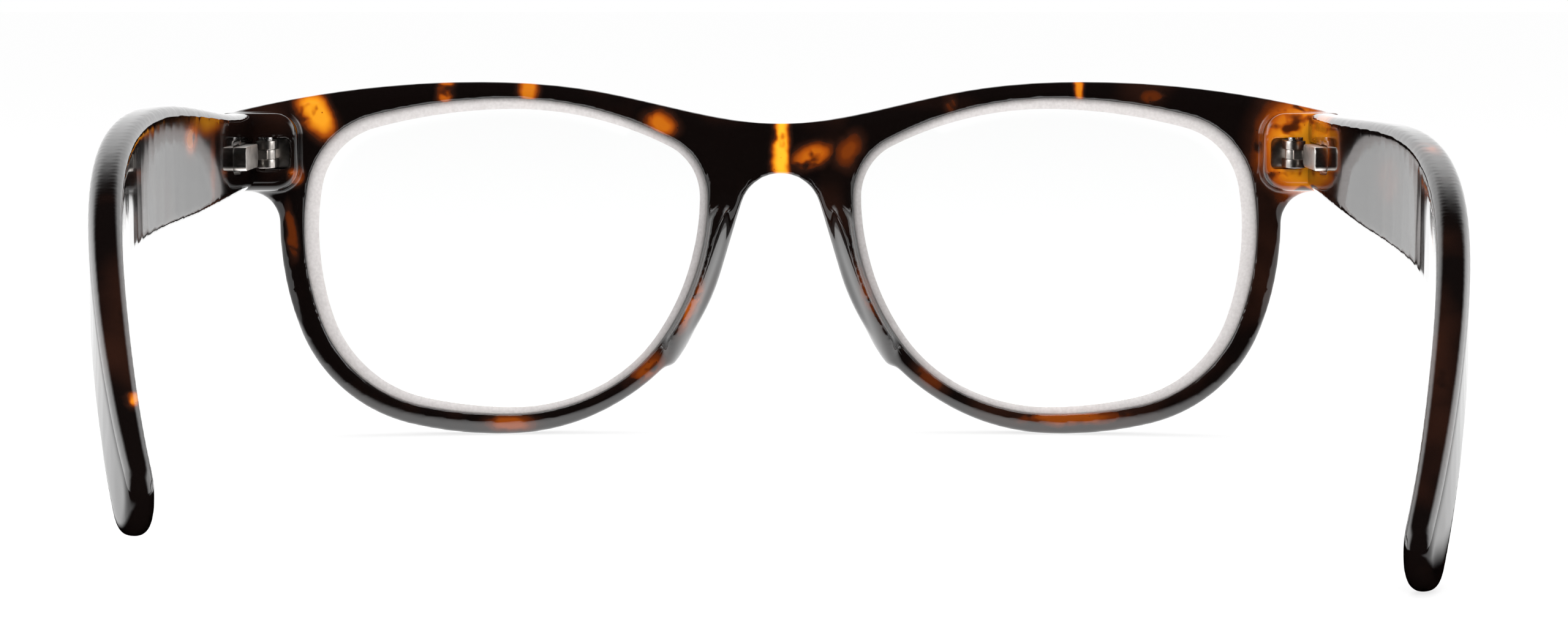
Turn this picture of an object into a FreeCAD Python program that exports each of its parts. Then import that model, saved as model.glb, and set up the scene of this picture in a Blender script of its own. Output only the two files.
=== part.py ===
"""Full-rim acetate reading glasses with sprung temple hinges.

Millimetres. +X is the wearer's right, +Y is forward, the way the wearer looks, and +Z is up.
The origin is on the table, in the middle of the glasses' box: the bottoms of the rims stand on
Z = 0, the front's foremost point is at half the overall depth and the temple tips end at minus
half of it.
"""
import FreeCAD, Part
import math
import os

import Sketcher

App = FreeCAD
Vector = App.Vector

doc = App.newDocument("reading_glasses")
sheet = doc.addObject("Spreadsheet::Sheet", "Sizes")

SIZES = [
    # overall
    ("overall_depth", 139.0),         # front's foremost point to the ends of the temple tips
    ("front_half_width", 70.5),       # centre to the outer end of an endpiece
    # front
    ("front_radius", 380.0),          # face curve of the front, about a vertical axis
    ("front_thickness", 4.0),
    ("front_edge_round", 0.9),        # polished round on the front's outer edges
    ("brow_height", 45.45),           # top of the front over a lens
    ("brow_reach", 40.0),             # centre to the brow's highest point
    ("brow_inner_reach", 12.0),       # three more places that the brow passes through
    ("brow_inner_height", 41.65),
    ("brow_middle_reach", 24.0),
    ("brow_middle_height", 44.3),
    ("brow_outer_reach", 56.0),
    ("brow_outer_height", 44.3),
    ("bridge_top", 40.0),
    ("bridge_bottom", 33.6),
    ("saddle_half_width", 6.0),       # hollow down the back of the bridge
    ("saddle_depth", 1.0),
    ("arch_radius", 5.2),             # nose arch under the bridge
    ("flank_radius", 29.0),           # nasal flank of a rim, down to its foot
    ("foot_reach", 35.5),             # centre to the lowest point of a rim
    ("rim_side_reach", 63.8),         # centre to the temporal side of a rim
    ("rim_foot_turn", 14.0),          # degrees turned by the rim's long foot arc
    ("rim_corner_radius", 20.0),
    ("rim_side_turn", 20.0),          # degrees turned by the long arc up its side
    ("endpiece_bottom", 31.6),
    ("endpiece_top", 41.9),
    ("endpiece_corner", 1.6),
    ("endpiece_fillet", 4.0),         # fillet under the endpiece, on to the rim
    # endpiece block behind the front
    ("block_inner_reach", 61.0),      # centre to the block's nasal face
    ("block_depth", 4.2),             # how far the block stands behind the front's end
    ("block_round", 1.2),
    ("block_corner", 2.8),            # its two nasal corners
    ("block_inset", 0.2),             # the block's top and bottom inside the endpiece's
    # lens aperture and lens
    ("lens_width", 51.5),
    ("lens_height", 40.7),
    ("lens_nasal_reach", 9.5),        # centre to the aperture: half the distance between lenses
    ("rim_foot_width", 2.6),
    ("aperture_edge_round", 0.35),
    ("lens_crown_reach", 25.75),      # nasal side to the aperture's highest point
    ("lens_foot_reach", 25.35),       # nasal side to the aperture's lowest point
    ("lens_nasal_height", 28.0),      # aperture's lowest point to its nasal-most point
    ("lens_temporal_height", 24.0),   # aperture's lowest point to its temporal-most point
    ("crown_temporal_turn", 14.0),    # each quarter: degrees of its level arc, the radius of
    ("crown_temporal_corner", 11.0),  # its corner and degrees of its upright arc
    ("temporal_crown_turn", 10.0),
    ("foot_temporal_turn", 12.0),
    ("foot_temporal_corner", 17.5),
    ("temporal_foot_turn", 20.0),
    ("foot_nasal_turn", 28.0),
    ("foot_nasal_corner", 21.5),
    ("nasal_foot_turn", 36.0),
    ("crown_nasal_turn", 28.0),
    ("crown_nasal_corner", 8.0),
    ("nasal_crown_turn", 48.0),
    ("lens_front_radius", 200.0),
    ("lens_back_radius", 320.0),
    ("lens_centre_thickness", 2.6),
    ("lens_edge_shift", 0.2),         # back vertex behind the bevel's plane
    ("bevel_height", 0.6),
    ("bevel_half_width", 0.6),
    ("bevel_ring_width", 1.6),
    ("lens_clearance", 0.05),
    # nose pads
    ("pad_reach", 10.3),
    ("pad_height", 19.6),
    ("pad_half_length", 12.0),
    ("pad_half_width", 1.9),
    ("pad_projection", 3.4),
    ("pad_lean", 20.5),               # degrees from upright
    ("pad_splay", 16.0),              # degrees that a pad opens out towards its back
    # hinge
    ("pivot_reach", 64.7),            # centre to the hinge pin's axis
    ("pivot_setback", 1.6),           # pin's axis behind the block's back face
    ("hinge_height", 36.6),           # middle of the hinge above the table
    ("knuckle_radius", 1.25),
    ("knuckle_height", 1.1),
    ("eye_height", 1.1),
    ("knuckle_gap", 0.05),
    ("leaf_arm_width", 1.6),
    ("leaf_plate_width", 3.6),
    ("leaf_plate_height", 3.7),
    ("leaf_plate_thickness", 0.9),
    ("leaf_plate_inset", 0.3),
    ("leaf_pocket_depth", 2.2),
    ("pocket_clearance", 0.1),
    ("pin_radius", 0.6),
    ("pin_clearance", 0.04),
    ("pin_head_radius", 0.95),
    ("pin_head_height", 0.45),
    ("pin_slot_width", 0.25),
    ("link_arm_half_width", 0.45),
    ("link_throw", 1.35),             # pin's axis to the near face of the link's cross arm
    ("link_cross_length", 0.8),
    # spring housing on the temple
    ("housing_start", 2.6),           # pin's axis to the housing's front end
    ("housing_length", 11.0),
    ("housing_width", 3.0),
    ("housing_height", 2.9),
    ("housing_round", 0.9),
    ("housing_wall", 1.0),            # end walls
    ("housing_stand", 1.1),           # how far the housing stands out of the temple
    ("spring_bore_radius", 1.05),
    ("rod_radius", 0.45),
    ("rod_clearance", 0.05),
    ("stop_radius", 0.95),
    ("stop_length", 1.0),
    ("stop_gap", 1.4),                # stop to the bore's end
    ("spring_wire_radius", 0.14),
    ("spring_turns", 8.0),
    ("spring_end_gap", 0.1),
    # temples
    ("temple_gap", 0.12),             # butt joint, closed
    ("temple_root_reach", 66.4),      # centre to the temple's inner face at the butt
    ("temple_bow_reach", 68.1),       # centre to its inner face half way
    ("temple_bend_reach", 68.1),      # centre to its inner face at the bend
    ("temple_tip_reach", 58.2),       # centre to its inner face at the tip
    ("temple_root_thickness", 4.1),
    ("temple_ear_thickness", 3.0),
    ("temple_root_bottom", 32.1),
    ("temple_root_top", 41.7),
    ("temple_crest_place", 33.6),     # butt to the highest stretch of the upper edge
    ("temple_crest", 42.8),
    ("temple_neck_place", 63.8),      # butt to where the upper edge starts to fall
    ("temple_neck_height", 42.5),
    ("temple_bend", 84.0),            # butt to the start of the bend
    ("temple_bend_top", 38.6),        # upper edge at the bend
    ("temple_waist_place", 40.0),     # butt to two more places on the lower edge
    ("temple_waist_bottom", 29.75),
    ("temple_belly_place", 73.0),
    ("temple_belly_bottom", 27.8),
    ("temple_drop_angle", 43.0),
    ("temple_ear_width", 8.6),
    ("temple_ear_run", 24.0),         # straight run up the ear part from the tip's centre
    ("temple_tip_height", 2.755),     # lowest point of the tip, untilted
    ("temple_edge_round", 1.25),
    ("left_temple_rise", 1.25),       # degrees that each temple is set up or down
    ("right_temple_rise", -1.25),
    ("wire_radius", 0.7),
    ("wire_clearance", 0.03),
    ("wire_start", 18.0),             # butt to the core wire's front end
    ("wire_end_cover", 9.0),          # core wire's end to the tip's end
    ("wire_root_height", 37.0),       # height of the wire at its front end, half way and the bend
    ("wire_bow_height", 36.8),
    ("wire_corner_height", 34.4),
    ("wire_corner_place", 2.5),       # bend to the wire's corner
    ("wire_bow_radius", 150.0),
    ("wire_bend_radius", 22.0),
]

for row, (name, value) in enumerate(SIZES, start=1):
    sheet.set("A%d" % row, name)
    sheet.set("B%d" % row, repr(value))
    sheet.setAlias("B%d" % row, name)
doc.recompute()


def size(name):
    """A driving dimension, read back from the sheet."""
    return float(sheet.get(name))


def bind(obj, **expressions):
    """Bind properties of an object to the sheet; a double underscore stands for a dot."""
    for prop, text in expressions.items():
        obj.setExpression(prop.replace("__", "."), text.replace("$", "Sizes."))
    return obj


# ---------------------------------------------------------------- derived places

DEG = math.pi / 180.0
front_y = size("overall_depth") / 2.0


def face_sag(x, radius):
    """How far the curved front falls back at a distance from the centre."""
    return radius - math.sqrt(radius * radius - x * x)


end_sag = face_sag(size("block_inner_reach"), size("front_radius"))
butt_y = front_y - end_sag - size("front_thickness") - size("block_depth")
pivot_y = butt_y - size("pivot_setback")

# The same places as sheet cells, for the expressions.
DERIVED = [
    ("block_back_y", butt_y),
    ("pivot_y", pivot_y),
    ("rod_reach", size("temple_root_reach") - size("housing_stand") + size("housing_width") / 2.0),
    ("housing_front_y", pivot_y - size("housing_start")),
]
for row, (name, value) in enumerate(DERIVED, start=len(SIZES) + 2):
    sheet.set("A%d" % row, name)
    sheet.set("B%d" % row, repr(value))
    sheet.setAlias("B%d" % row, name)
doc.recompute()


# ---------------------------------------------------------------- outline helpers

def xz(x, z, y=0.0):
    return Vector(x, y, z)


def arc_about(centre, radius, start, end):
    """An arc in the XZ plane about a centre (x, z), between two directions in degrees."""
    points = []
    for angle in (start, (start + end) / 2.0, end):
        x = centre[0] + radius * math.cos(angle * DEG)
        z = centre[1] + radius * math.sin(angle * DEG)
        points.append(xz(x, z))
    return Part.Arc(*points).toShape()


def quarter_radii(across, down, turn, corner, upright_turn):
    """Radii of the first and last of three tangent arcs that turn a quarter circle in a box.

    The box is across by down. The first arc starts level and turns by turn degrees, the last
    one ends upright after turning by upright_turn, and the corner's arc joins them.
    """
    sine_1 = math.sin(turn * DEG)
    cosine_1 = math.cos(turn * DEG)
    sine_2 = math.sin(upright_turn * DEG)
    cosine_2 = math.cos(upright_turn * DEG)
    width = across - corner * (cosine_2 - sine_1)
    height = down - corner * (cosine_1 - sine_2)
    determinant = sine_1 * sine_2 - (1.0 - cosine_1) * (1.0 - cosine_2)
    level = (width * sine_2 - (1.0 - cosine_2) * height) / determinant
    upright = (sine_1 * height - (1.0 - cosine_1) * width) / determinant
    return level, upright


def quarter(start, box, turns, right, up, offset=0.0):
    """Three tangent arcs from a level point, (x, z), round to an upright tangent.

    box is (across, down) and turns is (turn, corner radius, upright turn), as in quarter_radii.
    right and up are +1 or -1: the side that the quarter lies on, and whether the level point is
    its top (+1) or its bottom (-1).
    """
    turn, corner, upright_turn = turns
    level, upright = quarter_radii(box[0], box[1], turn, corner, upright_turn)

    def heading(angle):
        """Direction from an arc's centre once the outline has turned this far."""
        return math.atan2(up * math.cos(angle * DEG), right * math.sin(angle * DEG)) / DEG

    arcs = []
    centre = [start[0], start[1] - up * level]
    before = level
    turned_to = 0.0
    for radius, end in ((level, turn), (corner, 90.0 - upright_turn), (upright, 90.0)):
        centre[0] += right * (before - radius) * math.sin(turned_to * DEG)
        centre[1] += up * (before - radius) * math.cos(turned_to * DEG)
        first = heading(turned_to)
        last = heading(end)
        if last - first > 180.0:
            last -= 360.0
        if first - last > 180.0:
            last += 360.0
        arcs.append(arc_about(centre, radius + offset, first, last))
        before = radius
        turned_to = end
    return arcs


def quarter_turns(level_end, upright_end):
    """The turns and corner radius of a lens quarter, such as crown and temporal."""
    return (size("%s_%s_turn" % (level_end, upright_end)),
            size("%s_%s_corner" % (level_end, upright_end)),
            size("%s_%s_turn" % (upright_end, level_end)))


def lens_outline(offset=0.0):
    """The aperture's outline about the middle of its box, for the right lens, at y = 0."""
    half_width = size("lens_width") / 2.0
    tall = size("lens_height")
    crown = (size("lens_crown_reach") - half_width, tall)
    foot = (size("lens_foot_reach") - half_width, 0.0)
    edges = []
    for right, side in ((1, "temporal"), (-1, "nasal")):
        side_height = size("lens_%s_height" % side)
        over = (half_width - right * crown[0], tall - side_height)
        under = (half_width - right * foot[0], side_height)
        edges += quarter(crown, over, quarter_turns("crown", side), right, 1, offset)
        edges += quarter(foot, under, quarter_turns("foot", side), right, -1, offset)
    return Part.Wire(Part.__sortEdges__(edges))


def moved(shape, y):
    copy = shape.copy()
    copy.translate(Vector(0, y, 0))
    return copy


def prism(wire, y_0, y_1):
    """A closed outline in the XZ plane, extruded from y_0 to y_1."""
    return Part.Face(moved(wire, y_0)).extrude(Vector(0, y_1 - y_0, 0))


def bevel_disc(extra):
    """A disc whose rim is the lens bevel's V, made larger by extra."""
    half = size("bevel_half_width")
    base = -size("lens_clearance") + extra
    low = moved(lens_outline(base), -half)
    ridge = lens_outline(base + size("bevel_height"))
    high = moved(lens_outline(base), half)
    back = Part.makeLoft([low, ridge], True, True)
    front = Part.makeLoft([ridge, high], True, True)
    return back.fuse(front)


lens_centre_x = size("lens_nasal_reach") + size("lens_width") / 2.0
wrap_angle = math.asin(lens_centre_x / size("front_radius")) / DEG
lens_plane_y = front_y - face_sag(lens_centre_x, size("front_radius")) - size("front_thickness") / 2.0


def to_lens_place(shape):
    """Put a shape made in the right lens's own plane where that lens is."""
    placed = shape.copy()
    placed.rotate(Vector(0, 0, 0), Vector(0, 0, 1), -wrap_angle)
    placed.translate(Vector(lens_centre_x, lens_plane_y, size("rim_foot_width")))
    return placed


def mirrored(shape):
    return shape.mirror(Vector(0, 0, 0), Vector(1, 0, 0))


def feature(name, shape):
    """A sub-part whose shape Part's own functions made."""
    obj = doc.addObject("Part::Feature", name)
    obj.Label = name
    placement = shape.Placement
    obj.Shape = shape
    obj.Placement = placement
    return obj


# ---------------------------------------------------------------- front

def front_outline():
    """The front's outline: brow, endpieces, rims and nose arch, with tangent arcs."""
    half = size("front_half_width")
    top = size("endpiece_top")
    corner = size("endpiece_corner")
    brow = [
        xz(0.0, size("bridge_top")),
        xz(size("brow_inner_reach"), size("brow_inner_height")),
        xz(size("brow_middle_reach"), size("brow_middle_height")),
        xz(size("brow_reach"), size("brow_height")),
        xz(size("brow_outer_reach"), size("brow_outer_height")),
        xz(half - corner, top),
    ]
    points = [Vector(-p.x, 0, p.z) for p in reversed(brow[1:])] + brow
    crest = Part.BSplineCurve()
    crest.interpolate(points)
    edges = [crest.toShape()]

    bottom = size("endpiece_bottom")
    side = size("rim_side_reach")
    fillet = size("endpiece_fillet")
    foot = (size("foot_reach"), 0.0)
    flank = size("flank_radius")
    arch = size("arch_radius")
    arch_centre = (0.0, size("bridge_bottom") - arch)
    flank_centre = (foot[0], flank)
    across = flank_centre[0] - arch_centre[0]
    up = flank_centre[1] - arch_centre[1]
    apart = math.hypot(across, up)
    # The flank's straight stretch touches the arch on one side and the foot's arc on the other.
    lean = math.atan2(up, across) / DEG - math.asin((arch + flank) / apart) / DEG
    normal = lean + 90.0
    rim_turns = (size("rim_foot_turn"), size("rim_corner_radius"), size("rim_side_turn"))

    for sign in (1, -1):
        def at(x, z):
            return xz(sign * x, z)

        def arc(centre, radius, start, end):
            made = arc_about(centre, radius, start, end)
            return made if sign > 0 else made.mirror(Vector(0, 0, 0), Vector(1, 0, 0))

        # outer end of the endpiece
        edges.append(Part.LineSegment(at(half - corner, top), at(half, top - corner)).toShape())
        edges.append(Part.LineSegment(at(half, top - corner), at(half, bottom + corner)).toShape())
        edges.append(arc((half - corner, bottom + corner), corner, 0.0, -90.0))
        # underside, then the fillet on to the rim's side
        edges.append(Part.LineSegment(at(half - corner, bottom), at(side + fillet, bottom)).toShape())
        edges.append(arc((side + fillet, bottom - fillet), fillet, 90.0, 180.0))
        # the rim's side and foot
        rim_top = bottom - fillet
        for piece in quarter(foot, (side - foot[0], rim_top), rim_turns, 1, -1):
            edges.append(piece if sign > 0 else piece.mirror(Vector(0, 0, 0), Vector(1, 0, 0)))
        edges.append(arc(flank_centre, flank, 270.0, normal + 180.0))
        # straight flank and half of the nose arch
        tangent = (math.cos(normal * DEG), math.sin(normal * DEG))
        low = (flank_centre[0] - flank * tangent[0], flank_centre[1] - flank * tangent[1])
        high = (arch_centre[0] + arch * tangent[0], arch_centre[1] + arch * tangent[1])
        edges.append(Part.LineSegment(at(*low), at(*high)).toShape())
        edges.append(arc(arch_centre, arch, normal, 90.0))
    return Part.Wire(Part.__sortEdges__(edges))


def curved_slab(depth_0, depth_1):
    """The space between two upright cylinders, this far and that far behind the front's face."""
    radius = size("front_radius")
    centre = Vector(0, front_y - radius, -10)
    tall = size("brow_height") + 20
    outer = Part.makeCylinder(radius - depth_0, tall, centre)
    inner = Part.makeCylinder(radius - depth_1, tall, centre)
    return outer.cut(inner)


def front_plate():
    outline = front_outline()
    behind = front_y - size("front_half_width")
    plate = prism(outline, behind, front_y + 1.0).common(curved_slab(0.0, size("front_thickness")))
    return max(plate.Solids, key=lambda solid: solid.Volume)


def aperture_tool(offset=0.0):
    """The right lens aperture as a cutter through the front."""
    through = 2.0 * size("front_thickness")
    return to_lens_place(prism(lens_outline(offset), -through, through))


def saddle_hollow():
    """An upright cylinder that hollows the back of the bridge between two soft ridges."""
    half = size("saddle_half_width")
    depth = size("saddle_depth")
    radius = (half * half + depth * depth) / (2.0 * depth)
    bridge_back = front_y - size("front_thickness")
    return Part.makeCylinder(radius, size("brow_height"), Vector(0, bridge_back + depth - radius, 0))


def runs_along_outline(edge):
    """Whether an edge follows an outline, and doesn't run from the back face to the front."""
    run = edge.valueAt(edge.FirstParameter) - edge.valueAt(edge.LastParameter)
    return math.hypot(run.x, run.z) > 0.01


def on_aperture(edge, outline):
    """Whether an edge lies on a lens aperture's outline."""
    middle = edge.valueAt((edge.FirstParameter + edge.LastParameter) / 2.0)
    local_x = (abs(middle.x) - lens_centre_x) / math.cos(wrap_angle * DEG)
    vertex = Part.Vertex(xz(local_x, middle.z - size("rim_foot_width")))
    return vertex.distToShape(outline)[0] < size("aperture_edge_round")


def polished_plate():
    """The plate with its outer edges polished round, and the apertures opened and eased."""
    plate = front_plate()
    rims = [edge for edge in plate.Edges if runs_along_outline(edge)]
    plate = plate.makeFillet(size("front_edge_round"), rims)
    aperture = aperture_tool()
    plate = plate.cut(aperture).cut(mirrored(aperture))
    plate = plate.cut(saddle_hollow())
    outline = lens_outline()
    eased = [edge for edge in plate.Edges if runs_along_outline(edge) and on_aperture(edge, outline)]
    return plate.makeFillet(size("aperture_edge_round"), eased)


def endpiece_block():
    """The raised block behind the right endpiece, which carries the hinge and meets the temple."""
    inner = size("block_inner_reach")
    outer = size("front_half_width")
    bottom = size("endpiece_bottom") + size("block_inset")
    top = size("endpiece_top") - size("block_inset")
    sag = face_sag(outer, size("front_radius"))
    start = front_y - sag - size("front_thickness") / 2.0
    block = Part.makeBox(outer - inner, start - butt_y, top - bottom, Vector(inner, butt_y, bottom))
    near = 1e-4
    corners = [edge for edge in block.Edges
               if abs(edge.BoundBox.XMax - inner) < near and edge.BoundBox.YLength > near]
    block = block.makeFillet(size("block_corner"), corners)
    rounded = [edge for edge in block.Edges
               if abs(edge.BoundBox.YMax - butt_y) < near and edge.BoundBox.XMin < outer - near]
    return block.makeFillet(size("block_round"), rounded)


def leaf_pocket():
    """Pocket in the block for the hinge's front leaf."""
    gap = size("pocket_clearance")
    width = size("leaf_plate_width") + 2 * gap
    tall = size("leaf_plate_height") + 2 * gap
    left = size("pivot_reach") + size("knuckle_radius") - size("leaf_plate_inset")
    left -= size("leaf_plate_width") + gap
    return Part.makeBox(width, size("leaf_pocket_depth") + 5.0, tall,
                        Vector(left, butt_y - 5.0, size("hinge_height") - tall / 2.0))


def front_frame():
    body = polished_plate()
    for side in (1, -1):
        block = endpiece_block()
        pocket = leaf_pocket()
        aperture = aperture_tool()
        groove = to_lens_place(bevel_disc(size("lens_clearance")))
        if side < 0:
            block, pocket, aperture, groove = map(mirrored, (block, pocket, aperture, groove))
        body = body.fuse(block.cut(aperture)).cut(pocket).cut(groove)
    return body.removeSplitter()


def lens():
    """The right lens: a weak plus meniscus with a V bevel."""
    reach = size("lens_width")
    mid = size("lens_height") / 2.0
    blank = prism(lens_outline(-size("lens_clearance")), -8.0, 8.0)
    back_vertex = -size("lens_edge_shift")
    front_vertex = back_vertex + size("lens_centre_thickness")
    front_radius = size("lens_front_radius")
    back_radius = size("lens_back_radius")
    front_ball = Part.makeSphere(front_radius, Vector(0, front_vertex - front_radius, mid))
    back_ball = Part.makeSphere(back_radius, Vector(0, back_vertex - back_radius, mid))
    body = blank.common(front_ball).cut(back_ball)
    hollow = prism(lens_outline(-size("bevel_ring_width")), -reach, reach)
    ring = bevel_disc(0.0).cut(hollow)
    return to_lens_place(body.fuse(ring).removeSplitter())


def nose_pad(front):
    """The right nose pad: an egg bonded over the back and nasal side of the rim's flank."""
    thickness = size("front_thickness")
    ball = Part.makeSphere(1.0)
    matrix = App.Matrix()
    matrix.scale(size("pad_half_width"), size("pad_projection") + thickness / 2.0,
                 size("pad_half_length"))
    egg = ball.transformGeometry(matrix)
    egg.rotate(Vector(0, 0, 0), Vector(0, 0, 1), size("pad_splay"))
    egg.rotate(Vector(0, 0, 0), Vector(0, 1, 0), -size("pad_lean"))
    middle_y = front_y - face_sag(size("pad_reach"), size("front_radius")) - thickness / 2.0
    egg.translate(Vector(size("pad_reach"), middle_y, size("pad_height")))
    far = 2.0 * size("brow_height")
    ahead = Part.makeBox(far, far, 2.0 * far, Vector(0, middle_y, -far))
    pad = egg.cut(ahead).cut(front).cut(aperture_tool(size("aperture_edge_round")))
    return max(pad.Solids, key=lambda solid: solid.Volume)


# ---------------------------------------------------------------- temples

def temple_side_points(rise):
    """Upper and lower edge of a temple in the YZ plane, as (distance behind the butt, z)."""
    drop = size("temple_drop_angle")
    ear = size("temple_ear_width")
    reach = size("overall_depth") / 2.0 + butt_y
    tip_radius = ear / 2.0
    along = (math.cos(drop * DEG), -math.sin(drop * DEG))
    across = (math.sin(drop * DEG), math.cos(drop * DEG))
    tip = (reach - tip_radius, size("temple_tip_height") + tip_radius)

    def from_tip(back, side):
        return (tip[0] - back * along[0] + side * across[0], tip[1] - back * along[1] + side * across[1])

    run = size("temple_ear_run")
    upper = [
        (0.0, size("temple_root_top")),
        (size("temple_crest_place"), size("temple_crest")),
        (size("temple_neck_place"), size("temple_neck_height")),
        (size("temple_bend"), size("temple_bend_top")),
        from_tip(run, tip_radius),
        from_tip(0.0, tip_radius),
    ]
    lower = [
        from_tip(0.0, -tip_radius),
        from_tip(run, -tip_radius),
        (size("temple_belly_place"), size("temple_belly_bottom")),
        (size("temple_waist_place"), size("temple_waist_bottom")),
        (0.0, size("temple_root_bottom")),
    ]
    end = (tip[0] + tip_radius * along[0], tip[1] + tip_radius * along[1])

    def place(point):
        return Vector(0, butt_y - size("temple_gap") - point[0],
                      point[1] + point[0] * math.tan(rise * DEG))

    heading = place(from_tip(0.0, 0.0)).sub(place(from_tip(run, 0.0))).normalize()
    return [place(p) for p in upper], [place(p) for p in lower], place(end), heading


def spline(points, start=None, end=None):
    curve = Part.BSplineCurve()
    if start is not None and end is not None:
        curve.interpolate(Points=points, InitialTangent=start, FinalTangent=end)
    else:
        curve.interpolate(points)
    return curve.toShape()


PLAN_INNER = (0.0, 0.0, 0.0, 0.0)


def plan_outer():
    """Thickness of a temple at the four places that its plan passes through."""
    root = size("temple_root_thickness")
    ear = size("temple_ear_thickness")
    return (root, root - 0.3, 0.5 * (root + ear) + 0.1, ear)


def plan_points(extra):
    """A right temple's face in plan: butt, half way, bend and tip, moved out by extra."""
    start = butt_y - size("temple_gap") + 1.0
    stop = -size("overall_depth") / 2.0 - 1.0
    bend = butt_y - size("temple_bend")
    return [
        Vector(size("temple_root_reach") + extra[0], start, 0),
        Vector(size("temple_bow_reach") + extra[1], 0.5 * (start + bend), 0),
        Vector(size("temple_bend_reach") + extra[2], bend, 0),
        Vector(size("temple_tip_reach") + extra[3], stop, 0),
    ]


TEMPLE_SPACE_START = 40.0     # planes that enclose a right temple
TEMPLE_SPACE_WIDTH = 50.0
SPACE_BOTTOM = -20.0          # and the whole of it in height
SPACE_HEIGHT = 90.0


def temple_blank(rise):
    """A right temple: its side outline and its plan outline, each extruded, and what they share."""
    upper, lower, end, heading = temple_side_points(rise)
    level = Vector(0, -1, 0)
    edges = [
        spline(upper, level, heading),
        Part.Arc(upper[-1], end, lower[0]).toShape(),
        spline(lower, heading * -1.0, (lower[-1] - lower[-2]).normalize()),
        Part.LineSegment(lower[-1], upper[0]).toShape(),
    ]
    side = Part.Face(Part.Wire(edges))
    side.translate(Vector(TEMPLE_SPACE_START, 0, 0))
    side_prism = side.extrude(Vector(TEMPLE_SPACE_WIDTH, 0, 0))

    inner = plan_points(PLAN_INNER)
    outer = plan_points(plan_outer())
    plan_edges = [
        spline(inner),
        Part.LineSegment(inner[-1], outer[-1]).toShape(),
        spline(list(reversed(outer))),
        Part.LineSegment(outer[0], inner[0]).toShape(),
    ]
    plan_face = Part.Face(Part.Wire(plan_edges))
    plan_face.translate(Vector(0, 0, SPACE_BOTTOM))
    body = side_prism.common(plan_face.extrude(Vector(0, 0, SPACE_HEIGHT)))
    body = max(body.Solids, key=lambda solid: solid.Volume)
    long_edges = []
    for edge in body.Edges:
        box = edge.BoundBox
        at_butt = box.YMin > butt_y - size("temple_gap") - 0.01
        if not at_butt and box.XLength < box.YLength and box.YLength > size("temple_edge_round"):
            long_edges.append(edge)
    return body.makeFillet(size("temple_edge_round"), long_edges)


def housing_space(clearance):
    """Slot in the temple for the spring housing, open at the butt for the link."""
    tall = size("housing_height") + 2 * clearance
    wide = size("housing_width") + clearance
    inner = size("temple_root_reach") - size("housing_stand")
    end_y = size("housing_front_y") - size("housing_length") - clearance
    return Part.makeBox(wide, butt_y + 2.0 - end_y, tall,
                        Vector(inner, end_y, size("hinge_height") - tall / 2.0))


def temple_middle(y):
    """X of a right temple's middle at a place along it."""
    reaches = []
    for extra in (PLAN_INNER, plan_outer()):
        curve = Part.BSplineCurve()
        curve.interpolate(plan_points(extra))
        low = curve.FirstParameter
        high = curve.LastParameter
        for _ in range(40):
            half = 0.5 * (low + high)
            if curve.value(half).y > y:
                low = half
            else:
                high = half
        reaches.append(curve.value(low).x)
    return 0.5 * (reaches[0] + reaches[1])


def wire_path(rise):
    """The core wire's path down the middle of a right temple: runs joined by tangent arcs."""
    upper, lower, end, heading = temple_side_points(rise)
    slope = math.tan(rise * DEG)
    root_y = butt_y - size("temple_gap")
    begin = size("wire_start")
    bend = size("temple_bend")

    def centre(back, z):
        return Vector(temple_middle(root_y - back), root_y - back, z + back * slope)

    last = end - heading * size("wire_end_cover")
    last.x = temple_middle(last.y)
    points = [
        centre(begin, size("wire_root_height")),
        centre(0.5 * (begin + bend), size("wire_bow_height")),
        centre(bend + size("wire_corner_place"), size("wire_corner_height")),
        last,
    ]
    edges = []
    start = points[0]
    radii = (size("wire_bow_radius"), size("wire_bend_radius"))
    for before, corner, after, radius in zip(points, points[1:], points[2:], radii):
        back_way = (before - corner).normalize()
        on_way = (after - corner).normalize()
        half_turn = (math.pi - back_way.getAngle(on_way)) / 2.0
        setback = radius * math.tan(half_turn)
        arc_start = corner + back_way * setback
        arc_end = corner + on_way * setback
        bisector = (back_way + on_way).normalize()
        middle = corner + bisector * (radius * (1.0 / math.cos(half_turn) - 1.0))
        edges.append(Part.LineSegment(start, arc_start).toShape())
        edges.append(Part.Arc(arc_start, middle, arc_end).toShape())
        start = arc_end
    edges.append(Part.LineSegment(start, last).toShape())
    return Part.Wire(edges)


def wire_solid(rise, radius):
    path = wire_path(rise)
    first = path.Edges[0]
    circle = Part.makeCircle(radius, first.valueAt(first.FirstParameter),
                             first.tangentAt(first.FirstParameter))
    return path.makePipeShell([Part.Wire(circle)], True, True)


def temple(rise):
    body = temple_blank(rise)
    body = body.cut(housing_space(size("pocket_clearance") / 2.0))
    return body.cut(wire_solid(rise, size("wire_radius") + size("wire_clearance")))


# ---------------------------------------------------------------- hinge, right side

def bound(kind, name, **expressions):
    return bind(doc.addObject(kind, name), **expressions)


def box(name, corner, sides):
    """A Part::Box from its lowest corner and its three sides, all as sheet expressions."""
    return bound("Part::Box", name, Placement__Base__x=corner[0], Placement__Base__y=corner[1],
                 Placement__Base__z=corner[2], Length=sides[0], Width=sides[1], Height=sides[2])


def post(name, foot, radius, height):
    """An upright Part::Cylinder on its foot."""
    return bound("Part::Cylinder", name, Placement__Base__x=foot[0], Placement__Base__y=foot[1],
                 Placement__Base__z=foot[2], Radius=radius, Height=height)


def rod(name, start, radius, length):
    """A Part::Cylinder that runs backwards, along -Y, from its start."""
    obj = post(name, start, radius, length)
    return bind(obj, Placement__Rotation__Axis__x="1", Placement__Rotation__Axis__z="0",
                Placement__Rotation__Angle="90")


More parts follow.
